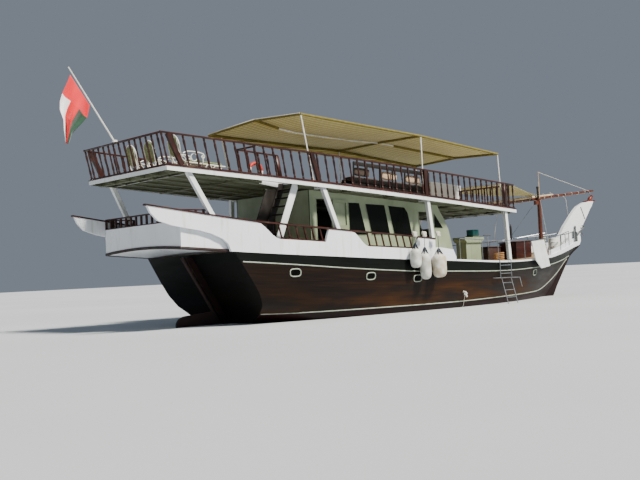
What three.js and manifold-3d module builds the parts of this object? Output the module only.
// A wooden passenger dhow afloat: transom-sterned motor hull, overhanging stern gallery,
// deckhouse, open upper deck on raked struts, striped awning, short mast and raised stem head.
// Millimetres. +X to the bow, +Y to port, +Z up. The origin is on the waterline amidships.
import * as THREE from 'three';
import { mergeVertices } from 'three/addons/utils/BufferGeometryUtils.js';
import Module from 'manifold-3d';

const wasm = await Module();
wasm.setup();

// Driving dimensions of the hull
const GAP = 0.3;
const TRANSOM_X = -8500;          // transom plane where it meets the waterline
const TRANSOM_RAKE = 0.636;       // forward run of the transom for each unit down
const KEEL_HALF = 110;
const KEEL_Z = -1950;
const APERTURE_X = -7150;
const APERTURE_FLOOR = -1620;

// Hull sections: x, sheer height, half-beam, fullness above, fullness below
const HULL_TABLE = [
  [-12700, 2420, 2085, 6.0, 0.80],
  [-10400, 2235, 2270, 6.0, 0.80],
  [-9400, 2155, 2420, 6.0, 0.80],
  [-7800, 2040, 2650, 4.6, 0.80],
  [-6300, 1950, 2780, 3.4, 0.95],
  [-4800, 1860, 2850, 2.7, 1.20],
  [-700, 1660, 2860, 2.5, 1.40],
  [2400, 1540, 2630, 2.1, 1.30],
  [4800, 1560, 2160, 1.75, 1.15],
  [6900, 1650, 1590, 1.4, 1.0],
  [8300, 1790, 1150, 1.2, 0.9],
  [9600, 1955, 690, 1.1, 0.9],
  [10700, 2110, 300, 1.0, 0.9],
  [11450, 2200, 62, 1.0, 1.0],
];
// Underside of the planking: x, z
const RABBET_TABLE = [
  [-12700, -250], [-8800, -270], [-7800, -560], [-6600, -1060], [-5200, -1420], [-3500, -1550],
  [1000, -1540], [4000, -1480], [5600, -1260],
  [7000, -840], [8200, -340], [9000, 160], [9900, 1080], [10700, 1700], [11450, 2080],
];

// Upper deck platform
const DECK_AFT_X = -12000;
const DECK_FORE_X = 3800;
const DECK_AFT_Z = 4670;
const DECK_SLOPE = -0.069;
const DECK_HALF_TABLE = [[-12000, 2190], [-8000, 2450], [-4000, 2580], [0, 2500], [3800, 2300]];
const FASCIA_DEEP = 150;
const FASCIA_THICK = 40;
const SLAB_THICK = 60;
const RAIL_HIGH = 950;
const RAIL_SET_IN = 60;
const BALUSTER_STEP = 340;

// Main deck, bulwarks and rails
const DECK_PLANK = 50;
const BULWARK_THICK = 90;
const BULWARK_PROUD = 10;
const DECK_END_X = 10900;
const GALLERY_FORE_X = -9640;
const CAP_WIDE = 130;
const CAP_DEEP = 45;
// Top line of the bulwark: x, z
const BULWARK_TOP = [
  [-12630, 3520], [-9180, 3045], [-8160, 2950], [-5630, 2725], [-3540, 2580], [-1690, 2428],
];

// Deckhouse
const HOUSE_AFT_X = -6500;
const HOUSE_HALF = 1900;
const WALL = 50;
// Raked front of the deckhouse, seen from the side: x, z
const HOUSE_FRONT = [[-480, 3800], [-10, 3180], [190, 2830], [310, 2420], [400, 2060], [450, 1500]];

// Cubic curve through the rows of a table, for one column
function along(table, x, column) {
  const last = table.length - 1;
  let i = 0;
  while (i < last - 1 && x > table[i + 1][0]) {
    i += 1;
  }
  const [x0, x1] = [table[i][0], table[i + 1][0]];
  const [y0, y1] = [table[i][column], table[i + 1][column]];
  const slope = (a, b) => (table[b][column] - table[a][column]) / (table[b][0] - table[a][0]);
  const m0 = i > 0 ? slope(i - 1, i + 1) : slope(i, i + 1);
  const m1 = i + 1 < last ? slope(i, i + 2) : slope(i, i + 1);
  const t = (x - x0) / (x1 - x0);
  const h = x1 - x0;
  const keep = (1 + 2 * t) * (1 - t) ** 2 * y0 + t * t * (3 - 2 * t) * y1;
  return keep + t * (1 - t) ** 2 * h * m0 + t * t * (t - 1) * h * m1;
}
// Straight line through the rows of an x, z table
function lineAt(table, x) {
  let i = 0;
  while (i < table.length - 2 && x > table[i + 1][0]) {
    i += 1;
  }
  const t = (x - table[i][0]) / (table[i + 1][0] - table[i][0]);
  return table[i][1] + t * (table[i + 1][1] - table[i][1]);
}
function range(from, to, count) {
  return Array.from({ length: count + 1 }, (_, i) => from + ((to - from) * i) / count);
}
// Stations shared by every piece that follows the hull, so that faces stay parallel
const STATIONS = [...range(-12700, 4100, 28), ...range(4600, 11450, 14)];
const fair = (column) => {
  const rows = STATIONS.map((x) => [x, along(HULL_TABLE, x, column)]);
  return (x) => lineAt(rows, x);
};
const sheer = fair(1);
const halfBeam = fair(2);
const stations = (from, to) => [from, ...STATIONS.filter((x) => x > from + 5 && x < to - 5), to];
const rabbet = (x) => along(RABBET_TABLE, x, 1);
const mainDeckZ = (x) => sheer(x) + GAP + DECK_PLANK;
const upperZ = (x) => DECK_AFT_Z + DECK_SLOPE * (x - DECK_AFT_X);
const deckRows = range(DECK_AFT_X, DECK_FORE_X, 8).map((x) => [x, along(DECK_HALF_TABLE, x, 1)]);
const upperHalf = (x) => lineAt(deckRows, x);
const transomX = (z) => TRANSOM_X - TRANSOM_RAKE * z;

// Solids
function toSolid(geometry) {
  geometry.deleteAttribute('normal');
  geometry.deleteAttribute('uv');
  const merged = mergeVertices(geometry, 0.001);
  return new wasm.Manifold(new wasm.Mesh({
    numProp: 3,
    vertProperties: Float32Array.from(merged.attributes.position.array),
    triVerts: Uint32Array.from(merged.index.array),
  }));
}
function toGeometry(solid) {
  const mesh = solid.getMesh();
  const geometry = new THREE.BufferGeometry();
  geometry.setAttribute('position', new THREE.BufferAttribute(Float32Array.from(mesh.vertProperties), 3));
  geometry.setIndex(new THREE.BufferAttribute(Uint32Array.from(mesh.triVerts), 1));
  geometry.computeVertexNormals();
  return geometry;
}
function mirrored(solid) {
  const mesh = solid.getMesh();
  const positions = Float32Array.from(mesh.vertProperties);
  for (let i = 1; i < positions.length; i += 3) {
    positions[i] *= -1;
  }
  return new wasm.Manifold(new wasm.Mesh({
    numProp: 3,
    vertProperties: positions,
    triVerts: Uint32Array.from(mesh.triVerts).reverse(),
  }));
}
function joined(solids) {
  return solids.reduce((all, one) => all.add(one));
}
function box(x0, x1, y0, y1, z0, z1) {
  const geometry = new THREE.BoxGeometry(x1 - x0, y1 - y0, z1 - z0);
  return toSolid(geometry.translate((x0 + x1) / 2, (y0 + y1) / 2, (z0 + z1) / 2));
}
// Outline in x and z, extruded from y0 to y1
function sideCut(points, y0, y1) {
  const shape = new THREE.Shape(points.map(([x, z]) => new THREE.Vector2(x, z)));
  const geometry = new THREE.ExtrudeGeometry(shape, { depth: y1 - y0, bevelEnabled: false });
  return toSolid(geometry.rotateX(Math.PI / 2).translate(0, y1, 0));
}
// Closed body through rings of points; the rings stand across the x axis
function loft(rings) {
  const count = rings[0].length;
  const positions = rings.flat(2);
  const faces = [];
  for (let r = 0; r + 1 < rings.length; r += 1) {
    for (let i = 0; i < count; i += 1) {
      const [a, b] = [r * count + i, r * count + ((i + 1) % count)];
      faces.push([a, a + count, b], [b, a + count, b + count]);
    }
  }
  const flat = (ring) => ring.map(([, y, z]) => new THREE.Vector2(y, z));
  const base = (rings.length - 1) * count;
  const turn = THREE.ShapeUtils.isClockWise(flat(rings[0])) ? 1 : -1;
  for (const [a, b, c] of THREE.ShapeUtils.triangulateShape(flat(rings[0]), [])) {
    faces.push([a, c, b]);
  }
  for (const [a, b, c] of THREE.ShapeUtils.triangulateShape(flat(rings.at(-1)), [])) {
    faces.push([base + a, base + b, base + c]);
  }
  const side = faces.slice(0, (rings.length - 1) * count * 2);
  const caps = faces.slice(side.length);
  const sideOut = turn > 0 ? side : side.map(([a, b, c]) => [a, c, b]);
  const geometry = new THREE.BufferGeometry();
  geometry.setAttribute('position', new THREE.Float32BufferAttribute(positions, 3));
  geometry.setIndex([...sideOut, ...caps].flat());
  return toSolid(geometry);
}
// Rectangular bar along stations of [x, y, z], with its section upright
function ribbon(stations, wide, deep) {
  return loft(stations.map(([x, y, z]) => [
    [x, y - wide / 2, z - deep / 2], [x, y + wide / 2, z - deep / 2],
    [x, y + wide / 2, z + deep / 2], [x, y - wide / 2, z + deep / 2],
  ]));
}
// Wall between two plan curves, standing between two heights
function curtain(xs, inner, outer, low, high) {
  return loft(xs.map((x) => [
    [x, inner(x), low(x)], [x, outer(x), low(x)], [x, outer(x), high(x)], [x, inner(x), high(x)],
  ]));
}
function aim(from, to) {
  const along3 = new THREE.Vector3(...to).sub(new THREE.Vector3(...from));
  const length = along3.length();
  along3.normalize();
  const side = new THREE.Vector3(0, 1, 0);
  if (Math.abs(along3.y) > 0.9) {
    side.set(1, 0, 0);
  }
  const up = new THREE.Vector3().crossVectors(along3, side).normalize();
  side.crossVectors(up, along3).normalize();
  const middle = new THREE.Vector3(...from).add(new THREE.Vector3(...to)).multiplyScalar(0.5);
  return { along3, side, up, middle, length };
}
// Square bar from one point to another
function bar(from, to, wide, deep) {
  const { along3, side, up, middle, length } = aim(from, to);
  const geometry = new THREE.BoxGeometry(length, wide, deep);
  const turn = new THREE.Matrix4().makeBasis(along3, side, up);
  return toSolid(geometry.applyMatrix4(turn).translate(middle.x, middle.y, middle.z));
}
// Round bar from one point to another
function pipe(from, to, radius, sides = 8, radiusTo = radius) {
  const { along3, side, up, middle, length } = aim(from, to);
  const geometry = new THREE.CylinderGeometry(radiusTo, radius, length, sides);
  const turn = new THREE.Matrix4().makeBasis(up, along3, side);
  const placed = geometry.applyMatrix4(turn).translate(middle.x, middle.y, middle.z);
  return toSolid(placed);
}
function pipes(points, radius, sides = 8) {
  return joined(points.slice(1).map((to, i) => pipe(points[i], to, radius, sides)));
}

const PROP = { x: -7400, z: -1185, radius: 385 };
// Hull: solid below the deck, cut by the raked transom
function hullRing(x, grow) {
  const [top, bottom, half] = [sheer(x), rabbet(x) - grow, halfBeam(x) + grow];
  const [above, below] = [along(HULL_TABLE, x, 3), along(HULL_TABLE, x, 4)];
  const levels = 9;
  const starboard = range(0, 1, levels).slice(0, -1).map((u) => {
    const drop = Math.sin((u * Math.PI) / 2);
    const wide = half * (1 - drop ** above) ** (1 / below);
    return [x, -wide, top - (top - bottom) * drop];
  });
  const port = starboard.map(([px, py, pz]) => [px, -py, pz]).reverse();
  return [...starboard, [x, 0, bottom], ...port];
}
function hullBody(grow) {
  const xs = stations(-10600, 11450);
  const body = loft(xs.map((x) => hullRing(x, grow)));
  const [low, high] = [-2500, 3500];
  const behind = sideCut([
    [transomX(low) - grow, low], [transomX(high) - grow, high], [-16000, high], [-16000, low],
  ], -4000, 4000);
  return body.subtract(behind);
}
const POST_DEEP = 230;
// Keel, deadwood, sternpost and stem as one timber, with the propeller aperture and shaft tube
function backbone() {
  const postTop = 2120;
  const profile = [
    [transomX(KEEL_Z) - POST_DEEP, KEEL_Z], [3500, -1880], [5400, -1640], [7000, -1180],
    [8300, -600], [9140, 0], [9480, 460], [10540, 1680], [10950, 1930], [11460, 2195],
    [10900, 2080], [10500, 1800], [9400, 900], [8200, 100], [6500, -700], [4000, -1250],
    [-4500, -1250], [-6500, -800], [APERTURE_X, -500], [APERTURE_X, APERTURE_FLOOR],
    [transomX(APERTURE_FLOOR), APERTURE_FLOOR], [transomX(postTop), postTop],
    [transomX(postTop) - POST_DEEP, postTop],
  ];
  const plank = sideCut(profile, -KEEL_HALF, KEEL_HALF).subtract(hullBody(GAP));
  return plank.add(pipe([APERTURE_X + 60, 0, PROP.z], [PROP.x + 125, 0, PROP.z], 60, 12));
}
// White board above the stem: aft edge rising, blunt head, fore edge falling
function stemHead() {
  const half = 70;
  const deckEnd = DECK_END_X + 1;
  const onHull = stations(deckEnd, 11400).reverse().map((x) => [x, sheer(x) + GAP]);
  const onDeck = stations(9350, deckEnd).reverse().map((x) => [x, mainDeckZ(x) + GAP]);
  const profile = [
    [9420, 2160], [9720, 2450], [10040, 2740], [10270, 3000], [10680, 3350], [11100, 3700],
    [11430, 3930], [11920, 4110], [12300, 4190], [12780, 4200], [12660, 4000], [12490, 3850],
    [12240, 3560], [11960, 3260], [11770, 3040], [11590, 2800], [11570, 2600], [11575, 2380],
    [11470, 2210],
    ...onHull, ...onDeck,
  ];
  return sideCut(profile, -half, half);
}

// Rudder on the raked sternpost: blade and stock turn on one line
const STOCK_RADIUS = 48;
const STOCK_OFF = POST_DEEP + 75;
const stockX = (z) => transomX(z) - STOCK_OFF;
function rudder() {
  const blade = new THREE.Shape();
  blade.moveTo(stockX(-1880), -1880);
  blade.lineTo(-8950, -1800);
  blade.lineTo(-10350, -320);
  blade.quadraticCurveTo(-10640, 230, -10150, 330);
  blade.lineTo(stockX(420), 420);
  const depth = 84;
  const geometry = new THREE.ExtrudeGeometry(blade, { depth, bevelEnabled: false, curveSegments: 8 });
  const plate = toSolid(geometry.rotateX(Math.PI / 2).translate(0, depth / 2, 0));
  return plate.add(pipe([stockX(-1900), 0, -1900], [stockX(2120), 0, 2120], STOCK_RADIUS, 12));
}
// Propeller: hub and four blades about the shaft line, at its own centre
function propeller() {
  const hub = pipe([-110, 0, 0], [110, 0, 0], 75, 12);
  const blades = range(0, 3, 3).map((i) => {
    const angle = (i * Math.PI) / 2;
    const blade = new THREE.Shape();
    blade.ellipse(0, 0.55 * PROP.radius, 0.34 * PROP.radius, 0.45 * PROP.radius, 0, 2 * Math.PI);
    const geometry = new THREE.ExtrudeGeometry(blade, { depth: 22, bevelEnabled: false, curveSegments: 8 });
    geometry.translate(0, 0, -11).rotateY(0.9).rotateX(angle);
    return toSolid(geometry);
  });
  return joined([hub, ...blades]);
}

// Main deck planking
function mainDeckHalf(x) {
  return halfBeam(x) - BULWARK_THICK + BULWARK_PROUD - 1;
}
function mainDeck() {
  const xs = stations(GALLERY_FORE_X + 20, DECK_END_X);
  return loft(xs.map((x) => [
    [x, -mainDeckHalf(x), sheer(x) + GAP], [x, mainDeckHalf(x), sheer(x) + GAP],
    [x, mainDeckHalf(x), mainDeckZ(x)], [x, -mainDeckHalf(x), mainDeckZ(x)],
  ]));
}

// Bulwark with two railed openings and the wing that reaches past the stern
function sCurve(from, to, count) {
  return range(0, 1, count).map((t) => {
    const ease = t * t * (3 - 2 * t);
    return [from[0] + (to[0] - from[0]) * t, from[1] + (to[1] - from[1]) * ease];
  });
}
const OPENINGS = [
  { from: [-9120, 3035], to: [-8350, 2530], end: [-6660, 2410], top: [-6520, 2800] },
  { from: [-5600, 2720], to: [-4890, 2240], end: [-2750, 2130], top: [-2550, 2495] },
];
const WING_LOW = [
  [-10000, 2205], [-10090, 2430], [-10260, 2575], [-10620, 2725], [-11000, 2825], [-11420, 2890],
  [-11890, 2975], [-12320, 3110], [-12540, 3330], [-12630, 3520],
];
const BULWARK_FORE = [[-1695, 2150], [-1370, 2140], [-740, 2060], [-600, 1800], [-600, 1500]];
function bulwark() {
  const top = OPENINGS.flatMap(({ from, to, end, top: rise }) => [
    ...sCurve(from, to, 6), end, rise,
  ]);
  const profile = [
    [-12630, 3520], [-9180, 3045], ...top, [-1695, lineAt(BULWARK_TOP, -1695)],
    ...BULWARK_FORE, [-9990, 1500], ...WING_LOW.slice(0, -1),
  ];
  const xs = stations(-12630, -600);
  const wall = curtain(xs, (x) => halfBeam(x) + BULWARK_PROUD - BULWARK_THICK,
    (x) => halfBeam(x) + BULWARK_PROUD, (x) => sheer(x) + GAP, () => 4000);
  return wall.intersect(sideCut(profile, 0, 4000));
}
const capY = (x) => halfBeam(x) + BULWARK_PROUD - BULWARK_THICK / 2;
function capRail() {
  const knots = BULWARK_TOP.slice(1, -1).map(([x]) => x);
  const xs = [...stations(-12700, -1690), ...knots].sort((a, b) => a - b);
  const lift = GAP + CAP_DEEP / 2;
  const pieces = [ribbon(xs.map((x) => [x, capY(x), lineAt(BULWARK_TOP, x) + lift]), CAP_WIDE, CAP_DEEP)];
  for (const { to, end } of OPENINGS) {
    const sill = (x) => to[1] + ((x - to[0]) * (end[1] - to[1])) / (end[0] - to[0]);
    const [first, last] = [to[0] + 30, end[0] - 30];
    const sillLine = range(first, last, 4).map((x) => [x, capY(x), sill(x) + GAP + 20]);
    pieces.push(ribbon(sillLine, 100, 40));
    const count = Math.round((last - first) / 350);
    for (const x of range(first + 60, last - 60, count)) {
      const head = x - 110;
      const top = lineAt(BULWARK_TOP, head) + 20;
      pieces.push(bar([x, capY(x), sill(x) + 25], [head, capY(head), top], 40, 40));
    }
  }
  return joined(pieces);
}
// Low white cap on the foredeck's edge: the bulwark runs on as this, and rises again at the bow
const BOW_CAP = [[-600, 60], [5500, 62], [8500, 150], [11300, 190]];
function foreCap() {
  const xs = stations(-620, 11300);
  const inner = (x) => Math.max(halfBeam(x) - BULWARK_THICK + BULWARK_PROUD, 72);
  const base = curtain(xs, inner, (x) => Math.max(halfBeam(x), inner(x)) + 28,
    (x) => sheer(x) + GAP, (x) => sheer(x) + lineAt(BOW_CAP, x));
  const bowXs = stations(6900, 10700);
  const panel = curtain(bowXs, (x) => inner(x) + 4, (x) => inner(x) + 54,
    (x) => sheer(x) + 40, (x) => sheer(x) + lineAt(BOW_CAP, x) + 190);
  return base.add(panel);
}

// Stern gallery: an open-topped box across the stern, with a cambered underside
function galleryHalf(x) {
  return 2075 + ((x + 11560) * 130) / 1900;
}
function gallery() {
  const camber = 85;
  const bottom = (x) => 2320 + ((x + 11560) * (sheer(GALLERY_FORE_X) + 8 - 2320)) / (GALLERY_FORE_X + 11560);
  const rows = range(-1, 1, 8);
  const ring = (x, set, lift, topZ) => {
    const half = galleryHalf(x) - set;
    const under = rows.map((v) => [x, v * half, bottom(x) + lift + camber * (1 - v * v)]);
    return [...under, [x, half, topZ], [x, -half, topZ]];
  };
  const outer = loft([-11560, -10600, GALLERY_FORE_X].map((x) => ring(x, 0, 0, 3110)));
  const inner = loft([-11500, -10600, GALLERY_FORE_X + 100].map((x) => ring(x, 60, 70, 3300)));
  return outer.subtract(inner);
}
function galleryRail() {
  const [x, top, base] = [-11530, 3440, 3110 + GAP];
  const half = galleryHalf(x) - 35;
  const fore = -10500;
  const foreHalf = galleryHalf(fore) - 35;
  const corners = [[fore, -foreHalf], [x, -half], [x, half], [fore, foreHalf]];
  const pieces = [];
  for (let i = 0; i + 1 < corners.length; i += 1) {
    const [a, b] = [corners[i], corners[i + 1]];
    pieces.push(bar([...a, top - 20], [...b, top - 20], 60, 40));
    pieces.push(bar([...a, base + 16], [...b, base + 16], 50, 30));
    const length = Math.hypot(b[0] - a[0], b[1] - a[1]);
    const count = Math.round(length / 290);
    for (const t of range(0, 1, count).slice(i === 1 ? 0 : 1, i === 1 ? undefined : -1)) {
      const [px, py] = [a[0] + (b[0] - a[0]) * t, a[1] + (b[1] - a[1]) * t];
      pieces.push(bar([px, py, base + 8], [px, py, top - 8], 54, 54));
    }
  }
  for (const end of [corners[0], corners[3]]) {
    pieces.push(bar([...end, base + 8], [...end, top - 8], 54, 54));
  }
  return joined(pieces);
}

const HELM = { x: -395, z: 2780, radius: 330 };
// Deckhouse walls reach from the main deck to the beams of the upper deck
const BEAM_DEEP = 110;
const houseTop = (x) => upperZ(x) - SLAB_THICK - GAP - BEAM_DEEP - 1;
const houseFoot = (x) => mainDeckZ(x) + GAP;
const frontX = (z) => {
  const rows = [...HOUSE_FRONT].reverse().map(([x, z0]) => [z0, x]);
  return lineAt(rows, z);
};
const SIDE_WINDOWS = [
  [[-4750, 2850], [-4130, 2850], [-4370, 3700], [-4750, 3710]],
  [[-3790, 2850], [-3010, 2850], [-3180, 3640], [-3960, 3670]],
  [[-2700, 2830], [-1900, 2800], [-2040, 3440], [-2160, 3570], [-2860, 3620]],
  [[-590, 2880], [-110, 2880], [-560, 3400]],
];
const PANE_SHARE = 0.99;
const SIDE_DOOR = { fore: -5560, aft: -6210, low: 60, top: 3830 };
const WHEEL_DOOR = { aft: -1360, fore: -790, top: 3450 };
function houseSide() {
  const foot = stations(HOUSE_AFT_X, 440).reverse().map((x) => [x, houseFoot(x)]);
  const front = [3500, 3180, 2830, 2420, 2060, 1800].map((z) => [frontX(z), z]);
  const profile = [[HOUSE_AFT_X, houseTop(HOUSE_AFT_X)], [-360, houseTop(-360)], ...front, ...foot];
  const wall = sideCut(profile, HOUSE_HALF - WALL, HOUSE_HALF);
  const cuts = SIDE_WINDOWS.map((points) => sideCut(points, 1500, 2200));
  const sideLow = houseFoot(SIDE_DOOR.aft) + SIDE_DOOR.low;
  const wheelLow = houseFoot(WHEEL_DOOR.aft) + SIDE_DOOR.low;
  cuts.push(box(SIDE_DOOR.aft, SIDE_DOOR.fore, 1500, 2200, sideLow, SIDE_DOOR.top));
  cuts.push(box(WHEEL_DOOR.aft, WHEEL_DOOR.fore, 1500, 2200, wheelLow, WHEEL_DOOR.top));
  return cuts.reduce((all, one) => all.subtract(one), wall);
}
const AFT_DOOR = { port: 560, starboard: -160, top: 3780 };
function houseAft() {
  const x = HOUSE_AFT_X;
  const inside = HOUSE_HALF - WALL - GAP;
  const wall = box(x, x + WALL, -inside, inside, houseFoot(x), houseTop(x + WALL));
  const low = houseFoot(x) + 70;
  return wall.subtract(box(x - 50, x + 100, AFT_DOOR.starboard, AFT_DOOR.port, low, AFT_DOOR.top));
}
// Front of the wheelhouse with three windows and the shelf that carries the helm
function houseFront() {
  const inside = HOUSE_HALF - WALL - GAP;
  const heights = [3500, 3180, 2830, 2420, 2060, houseFoot(360)];
  const face = heights.map((z) => [frontX(z), z]);
  const back = heights.map((z) => [frontX(z) - WALL - 15, z]).reverse();
  const top = houseTop(-360);
  const slab = sideCut([[-360, top], ...face, ...back, [-430, top]], -inside, inside);
  const pane = (y0, y1) => sideCut([
    [frontX(3420) - 300, 3420], [frontX(3420) + 200, 3420], [frontX(2900) + 200, 2900],
    [frontX(2900) - 200, 2900],
  ], y0, y1);
  const shelf = sideCut([[300, 2500], [300, 2560], [-330, 2560], [-330, houseFoot(-330) + GAP],
    [-250, houseFoot(-250) + GAP], [-180, 2500]], -450, 450);
  const cuts = [-1180, 0, 1180].map((y) => pane(y - 500, y + 500));
  const post = joined([
    box(-340, -250, -60, 60, 2550, 2860), pipe([-362, 0, HELM.z], [-300, 0, HELM.z], 25, 8),
  ]);
  return joined([cuts.reduce((all, one) => all.subtract(one), slab), shelf, post]);
}
// One sheet of glass inside the wall, thickened where it fills the three windows
function sideGlass() {
  const inner = HOUSE_HALF - WALL - 12;
  const panes = SIDE_WINDOWS.slice(0, 3).map((points) => {
    const middle = [0, 1].map((k) => points.reduce((sum, point) => sum + point[k], 0) / points.length);
    const toward = (value, k) => middle[k] + (value - middle[k]) * PANE_SHARE;
    return sideCut(points.map((point) => point.map(toward)), inner, HOUSE_HALF - 8);
  });
  return joined([box(-4780, -1820, inner, inner + 10, 2760, 3760), ...panes]);
}
// Door leaf at its own hinge line: it lies along +x from the hinge, framed and panelled
function doorLeaf(wide, low, top, thick) {
  const leaf = box(12, wide, -thick / 2, thick / 2, low, top);
  const light = box(100, wide - 90, -thick, thick, low + 0.52 * (top - low), top - 110);
  const hinges = [0.12, 0.5, 0.88].map((t) => {
    const z = low + t * (top - low);
    return pipe([0, 0, z - 45], [0, 0, z + 45], 10, 8).add(box(0, 20, -4, 4, z - 40, z + 40));
  });
  return joined([leaf.subtract(light), ...hinges]);
}
const SIDE_LEAF = { wide: 690, y: HOUSE_HALF + 32, x: -5545 };
const AFT_LEAF = { wide: 720, x: HOUSE_AFT_X - 32, y: 570 };
// Spoked helm wheel about its own centre, turning on x
function helmWheel() {
  const rim = new THREE.TorusGeometry(HELM.radius - 90, 20, 6, 20).rotateY(Math.PI / 2);
  const spokes = range(0, 7, 7).map((i) => {
    const a = (i * Math.PI) / 4;
    return pipe([0, 0, 0], [0, Math.sin(a) * HELM.radius, Math.cos(a) * HELM.radius], 12, 5);
  });
  return joined([toSolid(rim), ...spokes, pipe([-30, 0, 0], [30, 0, 0], 45, 12)]);
}
// Steep stair from the main deck to the stairwell, with a side board along its inboard side
const STAIR = { y0: -2240, y1: -1510, foreX: -7265, headZ: 4330, wide: 260, thick: 40 };
// The stair's after edge at a height
const stairX = (z) => -7480 + (z - 4200) * 0.45;
const TREAD = { top: 4110, rise: 260, count: 8, thick: 30, setBack: 10, deep: 240 };
const SIDE_BOARD = { low: 2500, high: 4130, lap: 20, wide: 440, thick: 30 };
function stair() {
  const { y0, y1, foreX, headZ, wide, thick } = STAIR;
  const footX = stairX(2130);
  const foot = Math.max(mainDeckZ(footX), mainDeckZ(footX + wide)) + GAP;
  const pieces = [y0, y1 - thick].map((y) => {
    const flank = sideCut([
      [stairX(foot), foot], [stairX(foot) + wide, foot],
      [stairX(headZ) + wide, headZ], [stairX(headZ), headZ],
    ], y, y + thick);
    return flank.subtract(box(foreX, foreX + 1000, y - 10, y + thick + 10, 3500, 5000));
  });
  for (let i = 0; i < TREAD.count; i += 1) {
    const z = TREAD.top - i * TREAD.rise;
    const x = stairX(z) + TREAD.setBack;
    pieces.push(box(x, x + TREAD.deep, y0 + 10, y1 - 10, z - TREAD.thick, z));
  }
  const { low, high, lap } = SIDE_BOARD;
  const [edge, top] = [stairX(low) + lap, stairX(high) + lap];
  pieces.push(sideCut([
    [edge - SIDE_BOARD.wide, low], [edge, low], [top, high], [top - SIDE_BOARD.wide, high],
  ], y1 - 2, y1 - 2 + SIDE_BOARD.thick));
  return joined(pieces);
}

// Upper deck: planked slab with a fascia all round and a stairwell
const STAIRWELL = { x0: -8500, x1: -7260, y0: -2300, y1: -1500 };
function upperDeck() {
  const slab = loft(deckRows.map(([x]) => {
    const [half, top] = [upperHalf(x), upperZ(x)];
    const [under, low] = [top - SLAB_THICK, top - FASCIA_DEEP];
    const inner = half - FASCIA_THICK;
    return [
      [x, -half, low], [x, -inner, low], [x, -inner, under], [x, inner, under],
      [x, inner, low], [x, half, low], [x, half, top], [x, -half, top],
    ];
  }));
  const ends = [[DECK_AFT_X, 1], [DECK_FORE_X, -1]].map(([x, inward]) => {
    const [half, top] = [upperHalf(x) - 5, upperZ(x) - SLAB_THICK / 2];
    const x1 = x + inward * FASCIA_THICK;
    return box(Math.min(x, x1), Math.max(x, x1), -half, half, top - FASCIA_DEEP + 30, top);
  });
  const well = box(STAIRWELL.x0, STAIRWELL.x1, STAIRWELL.y0, STAIRWELL.y1, 3000, 6000);
  return joined([slab, ...ends]).subtract(well);
}
const under = (x) => upperZ(x) - SLAB_THICK - GAP;
// Raked struts that stand on the bulwarks: name, foot x, foot height, head x
const STRUTS = [
  ['struts_aft', -10580, 3300, -11250], ['struts_middle', -6120, 2810, -6350],
  ['struts_house', -1765, 2480, -1450], ['struts_fore', 2950, 1605, 3220],
];
const HEAD_SET_IN = 150;
const HEADER_TOP = 50;
function strutPair([, footX, footZ, headX], grow = 0) {
  const headZ = under(headX) - 40;
  const reach = 1.06;
  const foot = [headX + (footX - headX) * reach, capY(footX), headZ + (footZ - headZ) * reach];
  const head = [headX, upperHalf(headX) - HEAD_SET_IN, headZ];
  const capTop = ([x, z]) => [x, z + CAP_DEEP + 2 * GAP];
  const floor = footX > 0
    ? box(footX - 600, footX + 600, 1000, 4000, 0, sheer(footX) + 72)
    : sideCut([
      [-13000, 0], capTop([-13000, lineAt(BULWARK_TOP, -13000)]), ...BULWARK_TOP.map(capTop),
      capTop([0, lineAt(BULWARK_TOP, 0)]), [0, 0],
    ], 1000, 4000);
  const strut = bar(foot, head, 120 + 2 * grow, 140 + 2 * grow).subtract(floor);
  return strut.add(mirrored(strut));
}
// Cross beam let into the stringers from below, that joins a pair of struts
function header(headX, grow = 0) {
  const half = upperHalf(headX) - HEAD_SET_IN - 20 + grow;
  const [x0, x1] = [headX - 50 - grow, headX + 50 + grow];
  return box(x0, x1, -half, half, under(headX) - BEAM_DEEP + 6 - grow, under(headX) - HEADER_TOP + grow);
}
function struts(row, grow = 0) {
  const headX = row[3];
  const above = box(headX - 1200, headX + 1200, -4000, 4000, under(headX) - HEADER_TOP + grow, 9000);
  return strutPair(row, grow).add(header(headX, grow)).subtract(above);
}
// Stringers and cross beams under the upper deck
const BEAM_XS = [-11600, -9300, -7200, -5200, -3200, 500, 1900];
function deckFrame() {
  const pieces = [];
  for (const y of [-2000, -1200, -400, 400, 1200, 2000]) {
    const line = [DECK_AFT_X + 60, DECK_FORE_X - 60].map((x) => [x, y, under(x) - BEAM_DEEP / 2]);
    pieces.push(ribbon(line, 70, BEAM_DEEP));
  }
  for (const x of BEAM_XS) {
    const half = Math.min(upperHalf(x), upperHalf(x + 45), upperHalf(x - 45)) - FASCIA_THICK - 4;
    pieces.push(loft([x - 45, x + 45].map((px) => [
      [px, -half, under(px) - BEAM_DEEP], [px, half, under(px) - BEAM_DEEP],
      [px, half, under(px)], [px, -half, under(px)],
    ])));
  }
  const well = box(STAIRWELL.x0 - 1, STAIRWELL.x1 + 1, STAIRWELL.y0, STAIRWELL.y1, 3000, 6000);
  const above = sideCut([
    [-13000, under(-13000)], [5000, under(5000)], [5000, 7000], [-13000, 7000],
  ], -4000, 4000);
  const notches = STRUTS.map((row) => struts(row, GAP));
  return [well, above, ...notches].reduce((all, one) => all.subtract(one), joined(pieces));
}

// Upper balustrade: the balusters fan aft towards the stern
const leanAt = (x) => -200 + (180 * (x - DECK_AFT_X)) / (DECK_FORE_X - DECK_AFT_X);
const railY = (x) => upperHalf(x) - RAIL_SET_IN;
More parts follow.
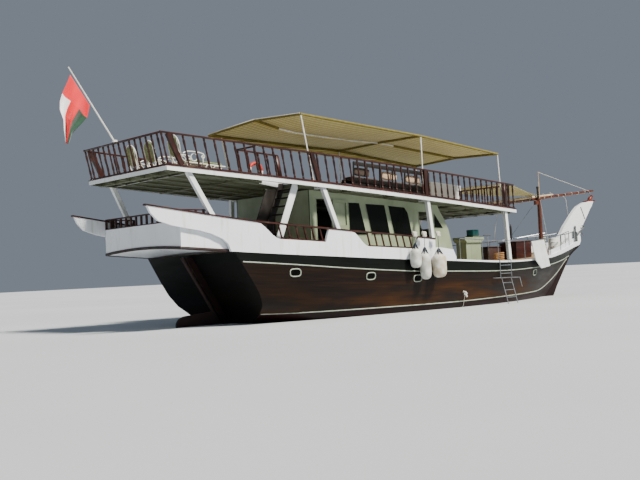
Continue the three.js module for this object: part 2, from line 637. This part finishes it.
// Thick posts: foot x, head x
const POSTS = [[-11480, -11920], [-6560, -6820], [-1570, -1600], [3170, 3150]];
function balustradeSide() {
  const xs = range(DECK_AFT_X + 40, DECK_FORE_X - 40, 16);
  const foot = ribbon(xs.map((x) => [x, railY(x), upperZ(x) + GAP + 24]), 70, 48);
  const head = ribbon(xs.map((x) => [x + leanAt(x), railY(x), upperZ(x) + RAIL_HIGH - 28]), 80, 56);
  const pieces = [foot, head];
  const count = Math.round((DECK_FORE_X - DECK_AFT_X - 160) / BALUSTER_STEP);
  for (const x of range(DECK_AFT_X + 80, DECK_FORE_X - 80, count)) {
    const y = railY(x);
    pieces.push(bar([x, y, upperZ(x) + 30], [x + leanAt(x), y, upperZ(x) + RAIL_HIGH - 30], 44, 44));
  }
  for (const [x, headX] of POSTS) {
    const y = railY(x);
    pieces.push(bar([x, y, upperZ(x) + 62], [headX, y, upperZ(x) + RAIL_HIGH - 30], 90, 150));
  }
  return joined(pieces);
}
const BALUSTRADE_AFT = DECK_AFT_X + 70;
const END_STEP = 290;
function balustradeEnd(x, lean) {
  const half = upperHalf(x) - RAIL_SET_IN - 55;
  const [low, high] = [upperZ(x) + 32, upperZ(x) + RAIL_HIGH - 30];
  const pieces = [
    bar([x, -half, low - 5], [x, half, low - 5], 60, 44),
    bar([x + lean, -half, high], [x + lean, half, high], 80, 52),
  ];
  for (const y of range(-half + 145, half - 145, Math.round((2 * half - 290) / END_STEP))) {
    pieces.push(bar([x, y, low], [x + lean, y, high], 44, 44));
  }
  return joined(pieces);
}
// Guard rail round the stairwell's after and inboard sides; its posts lean aft with the balusters
const GUARD_XS = [-8780, -8420, -8000, -7640];
const GUARD = { high: 880, lean: -160, y: -1440, outerY: -2265, thickX: -7230 };
function stairGuard() {
  const { high, lean, y, outerY, thickX } = GUARD;
  const xs = GUARD_XS;
  const at = (x, py, up) => [x + lean * (up / high), py, upperZ(x) + up];
  const post = (x, py, wide, deep) => bar(at(x, py, 30), at(x, py, high - 20), wide, deep);
  const level = (x, up) => [x, y, upperZ(x) + up];
  const pieces = [
    ribbon([level(xs[0] - 28, 24 + GAP), level(thickX + 60, 24 + GAP)], 60, 48),
    bar([xs[0], outerY - 28, upperZ(xs[0]) + 28], [xs[0], y, upperZ(xs[0]) + 28], 60, 44),
    bar(at(xs[0] - 30, y, high), at(thickX + 30, y, high), 60, 50),
    bar(at(xs[0], outerY - 28, high), at(xs[0], y, high), 60, 50),
  ];
  for (const x of xs) {
    pieces.push(post(x, y, 56, 56));
  }
  pieces.push(post(xs[0], outerY, 56, 56), post(thickX, y, 60, 120));
  return joined(pieces);
}

// Awning: edge and ridge heights fall towards the bow
// Poles: foot x, head x, head z
const POLES = [[-6450, -6880, 6480], [-1270, -1280, 6120], [3180, 3060, 5690]];
const AWNING_HALF = 2100;
// Middle line: x, z; the ridge pipe sags between its hoops
const RIDGE = [
  [-7040, 6580], [-6070, 6380], [-5230, 6280], [-4500, 6240], [-2580, 6150], [-1280, 6150], [3060, 5780],
];
const STARBOARD_EDGE = POLES.map(([, head, z]) => [head, z]);
// The port edge runs on past its after pole and droops
const PORT_EDGE = [[-7400, 6350], ...STARBOARD_EDGE.slice(1)];
const edgeZ = (x, side) => lineAt(side > 0 ? PORT_EDGE : STARBOARD_EDGE, x);
const PIPE = 24;
function awningFrame() {
  const pieces = [];
  for (const [foot, head] of POLES) {
    for (const side of [-1, 1]) {
      const y = side * AWNING_HALF;
      pieces.push(pipe([foot, y, upperZ(foot) + 9], [head, y, edgeZ(head, side)], PIPE, 6));
    }
  }
  const starboard = STARBOARD_EDGE.map(([x, z]) => [x, -AWNING_HALF, z]);
  const port = PORT_EDGE.map(([x, z]) => [x, AWNING_HALF, z]);
  const ridge = RIDGE.map(([x, z]) => [x, 0, z]);
  pieces.push(pipes(starboard, PIPE, 6), pipes(port, PIPE, 6), pipes(ridge, PIPE, 6));
  const ridgeEnds = [ridge[0], ridge[ridge.length - 2], ridge[ridge.length - 1]];
  ridgeEnds.forEach((top, i) => pieces.push(pipes([starboard[i], top, port[i]], PIPE, 6)));
  return joined(pieces);
}
function awning() {
  const thick = 12;
  const lift = PIPE + 12;
  const rows = range(-1, 1, 8);
  const ridgeX = RIDGE[0][0];
  const hem = (v) => ridgeX - 20 + Math.abs(v) * ((v < 0 ? STARBOARD_EDGE : PORT_EDGE)[0][0] - ridgeX);
  const xs = [null, -6880, -6070, -5230, -4500, -3540, -2580, -1280, 170, 1615, 3060];
  return loft(xs.map((x) => {
    const at = (v) => (x === null ? hem(v) : x);
    const height = (v) => {
      const share = Math.abs(v);
      return edgeZ(at(v), v) * share + lineAt(RIDGE, at(v)) * (1 - share) + lift;
    };
    const lower = rows.map((v) => [at(v), v * AWNING_HALF, height(v)]);
    const upper = rows.map((v) => [at(v), v * AWNING_HALF, height(v) + thick]).reverse();
    return [...lower, ...upper];
  }));
}

// Mast, spar and small fore awning
const MAST_X = 8610;
function mast() {
  const foot = mainDeckZ(MAST_X + 110) + GAP;
  return joined([
    pipe([MAST_X, 0, foot], [MAST_X - 8, 0, 4260], 92, 12, 86),
    pipe([MAST_X - 55, 0, 4200], [MAST_X - 65, 0, 4790], 52, 8),
    pipe([MAST_X + 32, 0, 4200], [MAST_X + 42, 0, 5450], 22, 8, 14),
    sideCut([
      [MAST_X - 50, 3850], [MAST_X - 50, 4170], [MAST_X - 350, 4150], [MAST_X - 330, 4080],
    ], -55, 55),
  ]);
}
function spar() {
  const at = (x) => [x, 162, 3790 + (x - 3900) * 0.1];
  return pipe(at(3900), at(13150), 75, 10, 55);
}
function foreAwning() {
  const thick = 12;
  const stations = [[3900, 1900, 4650], [4930, 1500, 4590], [6860, 750, 4460], [8300, 200, 4440]];
  return loft(stations.map(([x, half, z]) => [
    [x, -half, z - 60], [x, 0, z], [x, half, z - 60],
    [x, half, z - 60 + thick], [x, 0, z + thick], [x, -half, z - 60 + thick],
  ]));
}

// Flagstaff in a socket on the aft rail, with its flag hanging
const STAFF = { foot: [-12193, 260, 5645], head: [-13572, 280, 7700] };
function flagstaff() {
  const [x, y] = STAFF.foot;
  const rail = upperZ(BALUSTRADE_AFT) + RAIL_HIGH - 4;
  const socket = box(x - 38, x + 88, y - 42, y + 42, rail + GAP, rail + 60);
  return pipe(STAFF.foot, STAFF.head, 26, 8, 18).add(socket);
}
function flag() {
  const outline = [
    [-13530, 7480], [-12940, 6640], [-13010, 6280], [-13540, 5770], [-13670, 5410],
    [-13830, 5590], [-13780, 6120], [-13940, 6480], [-13840, 6860], [-13740, 7030],
  ];
  return sideCut(outline, 225, 315);
}

// Fenders hang on taut ropes from the starboard rail: x, drum radius, top z, bottom z
const FENDERS = [[-2980, 190, 2090, 1480], [-2520, 190, 1950, 1080], [-1880, 245, 1900, 1120]];
function fender([, radius, top, bottom]) {
  const profile = [[0, bottom], [radius * 0.7, bottom], [radius, bottom + 50], [radius, top - 50],
    [radius * 0.6, top], [35, top], [35, top + 60], [0, top + 60]];
  const drum = new THREE.LatheGeometry(profile.map(([r, z]) => new THREE.Vector2(r, z)), 16);
  return toSolid(drum.rotateX(Math.PI / 2)).add(pipe([0, 0, top + 40], [0, 0, 2560], 9, 6));
}

// Boarding ladder: head fixed to the foredeck rail, lower flight hinged at its foot
const LADDER = { x0: 2050, x1: 2720, hingeZ: 960, y: -2720 };
function ladderHead() {
  const { x0, x1, hingeZ, y } = LADDER;
  const deck = sheer(LADDER.x0) + 66;
  const pieces = [x0, x1].map((x) => pipes([
    [x, y + 120, deck + 20], [x, y, deck + 20], [x, y, hingeZ + 40],
  ], 17, 6));
  pieces.push(pipe([x0, y, 1430], [x1, y, 1430], 14), pipe([x0, y, 1130], [x1, y, 1130], 14));
  return joined(pieces);
}
function ladderFlight() {
  const [outward, down] = [-340, -1290];
  const inset = 48;
  const [left, right] = [inset, LADDER.x1 - LADDER.x0 - inset];
  const pieces = [left, right].map((x) => pipe([x, 0, 0], [x, outward, down], 17, 6));
  for (const t of range(0.14, 0.97, 4)) {
    pieces.push(pipe([left, outward * t, down * t], [right, outward * t, down * t], 15, 6));
  }
  pieces.push(pipe([-22, 0, 0], [right + inset + 22, 0, 0], 12, 6));
  return joined(pieces);
}
// White board hung over the bow rail, about its own place on the rail
const BOARD = { x: 5500, y: -2135, yaw: 0.2578 };
function bowBoard() {
  const outline = [[-985, 2303], [366, 2376], [938, 1319], [-55, 1236], [-634, 1573]];
  return sideCut(outline, -15, 15);
}

// Pipe rails round the foredeck, joined at the stem head's sides
function foreRail() {
  const height = 790;
  const set = 40;
  const xs = [-350, 1000, LADDER.x0, LADDER.x1, 4200, 5600, 7000, 8400, 9800];
  const line = xs.map((x) => [x, halfBeam(x), mainDeckZ(x) + height - set]);
  const pieces = [pipes(line, 17, 6)];
  for (const [x, y, top] of line) {
    pieces.push(pipe([x, y, sheer(x) + lineAt(BOW_CAP, x) + 4], [x, y, top], 15, 6));
  }
  return joined(pieces);
}
function foreConsole() {
  const [x0, x1, y0, y1] = [1530, 2400, -1600, -1120];
  const [low, mid, top] = [mainDeckZ(x0) + 1, 2350, 2540];
  const body = box(x0, x1, y0, y1, low, mid);
  const flare = sideCut([
    [x0, mid - 10], [x1, mid - 10], [x1 + 130, top - 80], [x1 + 130, top],
    [x0 - 130, top], [x0 - 130, top - 80],
  ], y0 - 60, y1 + 60);
  const cover = box(2030, 2440, y0 + 60, y1 - 60, top - 10, top + 60);
  return joined([body, flare, cover, box(2080, 2400, y0 + 100, y1 - 100, top + 50, top + 270)]);
}
// Forepeak hatch: coaming with an opening, and a lid hinged at its fore edge
const HATCH = { x0: 6200, x1: 7250, half: 430, high: 680, wall: 45 };
function hatchCoaming() {
  const { x0, x1, half, high, wall } = HATCH;
  const low = Math.max(mainDeckZ(x0), mainDeckZ(x1)) + 1;
  const top = mainDeckZ(x0) + high;
  const foot = sideCut([
    [x0, mainDeckZ(x0) + 1], [x1, mainDeckZ(x1) + 1], [x1, top + 60], [x0, top],
  ], -half, half);
  return foot.subtract(box(x0 + wall, x1 - wall, -half + wall, half - wall, low + 60, top + 200));
}
function hatchLid() {
  const { x0, x1, half } = HATCH;
  const length = x1 - x0 + 50;
  return sideCut([[-length, -60], [0, 0], [0, 40], [-length, -20]], -half - 30, half + 30);
}
// Upper deck furniture: sun loungers aft, a bench and a cabinet under the awning
// Loungers: x of the foot end, y of the middle
const LOUNGERS = [[-9500, 1100], [-9500, 50], [-9500, -1250]];
function lounger() {
  const legs = [[-150, -260], [-150, 260], [-1350, -260], [-1350, 260]];
  const pieces = legs.map(([x, y]) => box(x - 25, x + 25, y - 25, y + 25, 0, 280));
  pieces.push(box(-1400, 0, -310, 310, 250, 300));
  pieces.push(sideCut([[-1400, 250], [-1880, 790], [-1845, 825], [-1360, 300]], -310, 310));
  // Arms, each with a fore post and a link to the back
  const arm = joined([
    box(-1560, -780, 310, 350, 560, 600), box(-840, -800, 310, 350, 250, 570),
    box(-860, -780, 290, 350, 255, 290), box(-1640, -1540, 290, 350, 540, 600),
  ]);
  return joined([...pieces, arm, mirrored(arm)]);
}
function loungerPad() {
  return sideCut([
    [-20, 303], [-1354, 303], [-1356, 305], [-1842, 828], [-1801, 866], [-1341, 365], [-20, 365],
  ], -290, 290);
}
const BENCH = { x0: -4600, x1: -700, y0: -1990, y1: -1440 };
function bench() {
  const { x0, x1, y0, y1 } = BENCH;
  const at = (x, up) => [x, upperZ(x) + up];
  const seat = sideCut([at(x0, 2), at(x1, 2), at(x1, 380), at(x0, 380)], y0, y1);
  const back = sideCut([at(x0, 300), at(x1, 300), at(x1, 820), at(x0, 820)], y0 - 50, y0);
  const tie = sideCut([at(x0, 300), at(x1, 300), at(x1, 340), at(x0, 340)], y0 - 50, y0 + 30);
  return joined([seat, back, tie]);
}
function benchPad() {
  const { x0, x1, y0, y1 } = BENCH;
  const at = (x, up) => [x, upperZ(x) + up];
  const seat = sideCut([at(x0, 384), at(x1, 384), at(x1, 480), at(x0, 480)], y0 + 10, y1);
  const back = sideCut([at(x0, 400), at(x1, 400), at(x1, 800), at(x0, 800)], y0 + 6, y0 + 110);
  return seat.add(back);
}
function cabinet() {
  const [x0, x1, y0, y1] = [1250, 2950, -250, 350];
  const at = (x, up) => [x, upperZ(x) + up];
  const body = sideCut([at(x0, 2), at(x1, 2), at(x1, 820), at(x0, 820)], y0, y1);
  const top = sideCut([
    at(x0 - 30, 810), at(x1 + 30, 810), at(x1 + 30, 1010), at(x0 - 30, 1010),
  ], y0 - 30, y1 + 30);
  return body.add(top);
}

// Finishes: colour, roughness, metalness
const FINISH = {
  hull: [0x2c1710, 0.4, 0],
  white: [0xe6e8ec, 0.45, 0],
  varnish: [0x5a1f12, 0.4, 0],
  planks: [0x8b7a5c, 0.7, 0],
  cabin: [0x9b9a7f, 0.6, 0],
  glass: [0x10140f, 0.1, 0],
  steel: [0xc9ccd0, 0.3, 1],
  bronze: [0xa07a3a, 0.35, 1],
  canvas: [0x9c8f4a, 0.9, 0],
  flag: [0xb8202a, 0.9, 0],
  fender: [0xdcdcd4, 0.5, 0],
  antifouling: [0x3a0f10, 0.6, 0],
  pad: [0x6f7a4a, 0.9, 0],
  plastic: [0xe8eae8, 0.4, 0],
};
function finish(name) {
  const [color, roughness, metalness] = FINISH[name];
  return new THREE.MeshStandardMaterial({ color, roughness, metalness });
}

const dhow = new THREE.Group();
function place(name, solid, look, position = [0, 0, 0], rotation = [0, 0, 0]) {
  const mesh = new THREE.Mesh(toGeometry(solid), finish(look));
  mesh.name = name;
  mesh.position.set(...position);
  mesh.rotation.set(...rotation);
  dhow.add(mesh);
}
function placePair(name, solid, look) {
  place(`${name}_port`, solid, look);
  place(`${name}_starboard`, mirrored(solid), look);
}

place('hull', hullBody(0), 'hull');
place('backbone', backbone(), 'antifouling');
place('stem_head', stemHead(), 'white');
place('rudder', rudder(), 'antifouling');
place('propeller', propeller(), 'bronze', [PROP.x, 0, PROP.z]);
place('main_deck', mainDeck(), 'planks');
placePair('bulwark', bulwark().add(foreCap()), 'white');
placePair('cap_rail', capRail(), 'varnish');
place('stern_gallery', gallery(), 'white');
place('gallery_rail', galleryRail(), 'varnish');
placePair('house_side', houseSide(), 'cabin');
place('house_aft', houseAft(), 'cabin');
place('house_front', houseFront(), 'cabin');
placePair('window_glass', sideGlass(), 'glass');
const leafLow = houseFoot(SIDE_DOOR.aft) + SIDE_DOOR.low + 10;
const leaf = doorLeaf(SIDE_LEAF.wide, leafLow, SIDE_DOOR.top - 10, 36);
place('side_door_port', leaf, 'white', [SIDE_LEAF.x, SIDE_LEAF.y, 0]);
place('side_door_starboard', leaf, 'white', [SIDE_LEAF.x, -SIDE_LEAF.y, 0]);
const aftLeaf = doorLeaf(AFT_LEAF.wide, houseFoot(HOUSE_AFT_X) + 80, AFT_DOOR.top - 6, 36);
place('aft_door', aftLeaf, 'varnish', [AFT_LEAF.x, AFT_LEAF.y, 0], [0, 0, -Math.PI / 2]);
place('helm_wheel', helmWheel(), 'varnish', [HELM.x, 0, HELM.z]);
place('stair', stair(), 'varnish');
place('upper_deck', upperDeck(), 'white');
place('upper_deck_frame', deckFrame(), 'white');
STRUTS.forEach((row) => place(row[0], struts(row), 'white'));
placePair('balustrade', balustradeSide(), 'varnish');
place('balustrade_aft', balustradeEnd(BALUSTRADE_AFT, -200), 'varnish');
place('balustrade_fore', balustradeEnd(DECK_FORE_X - 70, -20), 'varnish');
place('stairwell_guard', stairGuard(), 'varnish');
place('awning_frame', awningFrame(), 'steel');
place('awning', awning(), 'canvas');
place('fore_awning', foreAwning(), 'canvas');
place('mast', mast(), 'varnish');
place('spar', spar(), 'varnish');
place('flagstaff', flagstaff(), 'white');
place('flag', flag(), 'flag');
FENDERS.forEach((row, i) => {
  const y = -(halfBeam(row[0]) + BULWARK_PROUD + CAP_WIDE / 2 + row[1] - 20);
  place(`fender_${i + 1}`, fender(row), 'fender', [row[0], y, 0]);
});
place('boarding_ladder', ladderFlight(), 'steel', [LADDER.x0, LADDER.y, LADDER.hingeZ]);
place('bow_board', bowBoard(), 'plastic', [BOARD.x, BOARD.y, 0], [0, 0, BOARD.yaw]);
place('foredeck_rail_port', foreRail(), 'steel');
place('foredeck_rail_starboard', mirrored(foreRail()).add(ladderHead()), 'steel');
place('fore_console', foreConsole(), 'white');
place('hatch_coaming', hatchCoaming(), 'varnish');
const hatchZ = mainDeckZ(HATCH.x0) + HATCH.high + 60 + 8;
place('hatch_lid', hatchLid(), 'varnish', [HATCH.x1 + 20, 0, hatchZ]);
const slope = Math.atan(-DECK_SLOPE);
LOUNGERS.forEach(([x, y], i) => {
  const at = [x, y, upperZ(x) + 2];
  place(`lounger_${i + 1}`, lounger(), 'plastic', at, [0, slope, 0]);
  place(`lounger_pad_${i + 1}`, loungerPad(), 'pad', at, [0, slope, 0]);
});
place('bench', bench(), 'varnish');
place('bench_pad', benchPad(), 'pad');
place('cabinet', cabinet(), 'white');

export default dhow;
